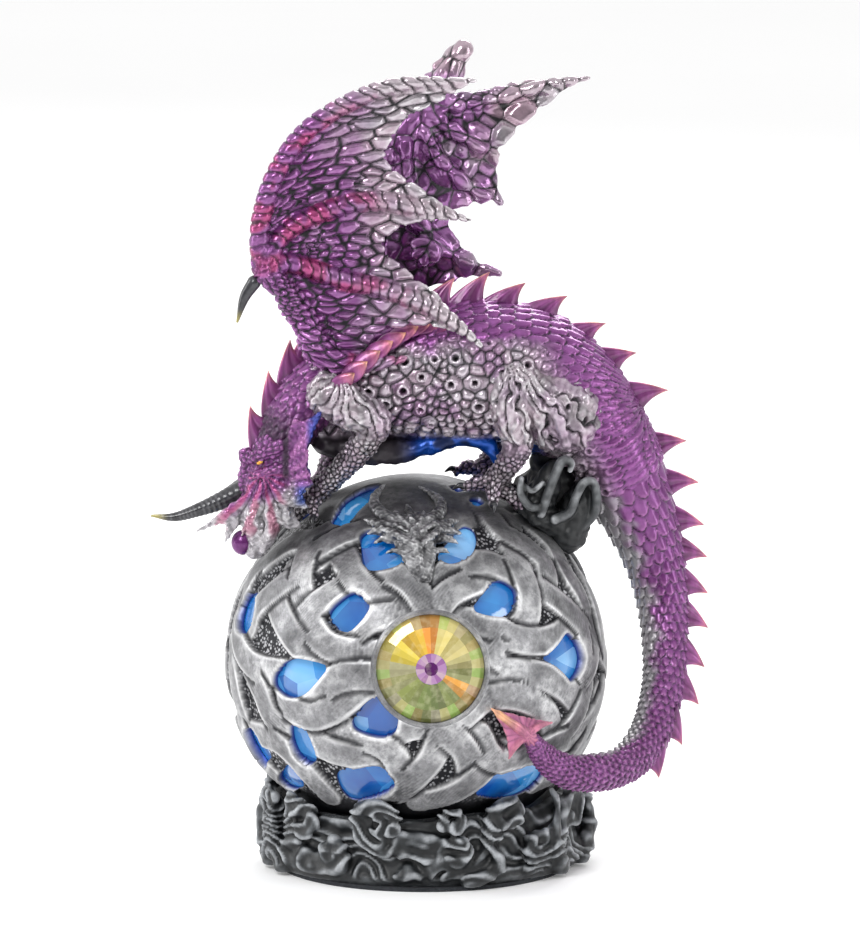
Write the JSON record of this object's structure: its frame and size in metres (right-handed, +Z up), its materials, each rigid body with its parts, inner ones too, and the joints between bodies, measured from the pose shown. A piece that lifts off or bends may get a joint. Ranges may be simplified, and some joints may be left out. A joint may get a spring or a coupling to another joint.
{
  "type": "light-up dragon orb figurine",
  "caption": "Cast figurine of a winged dragon crouching on a woven, gem-set light-up orb on a rocky base, with a battery light unit underneath.",
  "frame": {"origin": "point on the table under the orb's centre, on the felt pad's resting face", "axes": "+Z up, -Y out of the gem at the front, the dragon's head on the -X side and its tail on the +X side"},
  "size_m": [0.1426, 0.0987, 0.2105],
  "materials": {
    "felt": "dark felt",
    "rock_resin": "charcoal resin, dry-brushed grey, satin",
    "blue_glass": "blue translucent, clear gloss",
    "silver_resin": "silver paint over resin with black wash, satin metallic",
    "coated_crystal": "rainbow-coated cut crystal",
    "scale_resin": "silver and pink pearl paint with black wash, gloss lacquer",
    "purple_resin": "purple pearl paint with black wash, gloss lacquer",
    "pink_resin": "pink pearl paint, gloss lacquer",
    "horn_resin": "black paint with a yellow tip, satin",
    "white_plastic": "moulded plastic, fine texture",
    "black_plastic": "moulded plastic, ribbed",
    "clear_plastic": "clear moulded plastic",
    "board": "green solder mask",
    "led_epoxy": "milky epoxy",
    "screw_steel": "plated steel",
    "cell_steel": "polished nickel",
    "contact_brass": "stamped spring brass"
  },
  "bodies": {
    "figurine": {"felt_pad": "felt", "base_plinth": "rock_resin", "orb_globe": "blue_glass", "orb_cage": "silver_resin", "gem_bezel": "silver_resin", "crystal_gem": "coated_crystal", "dragon_emblem": "silver_resin", "rock_perch": "rock_resin", "dragon_torso": "scale_resin", "dragon_neck": "purple_resin", "dragon_head": "purple_resin", "horn_left": "horn_resin", "horn_right": "horn_resin", "foreleg_left": "scale_resin", "foreleg_right": "scale_resin", "hindleg_left": "scale_resin", "hindleg_right": "scale_resin", "wing_left": "purple_resin", "wing_right": "purple_resin", "wing_claw": "horn_resin", "tail": "purple_resin", "tail_tip": "pink_resin", "light_tub": "white_plastic", "tub_screws": "screw_steel", "circuit_board": "board", "board_screws": "screw_steel", "led": "led_epoxy", "light_lens": "clear_plastic", "switch_case": "screw_steel", "button_cells": "cell_steel", "contact_positive": "contact_brass", "contact_negative": "contact_brass", "battery_spring": "screw_steel"},
    "battery_door": {"battery_door": "white_plastic"},
    "door_screw": {"door_screw": "screw_steel"},
    "switch_knob": {"switch_knob": "black_plastic"}
  },
  "joints": [
    {"name": "switch_slide", "type": "slide", "parent": "figurine", "child": "switch_knob", "axis": [1, 0, 0], "range_m": [0, 0.0025]},
    {"name": "door_lift_off", "type": "slide", "parent": "figurine", "child": "battery_door", "axis": [0, 0, -1], "range_m": [0, 0.02]},
    {"name": "door_screw_turn", "type": "hinge", "parent": "battery_door", "child": "door_screw", "pos_m": [0.0121, 0.009, 0.002], "axis": [0, 0, -1], "continuous": true}
  ]
}
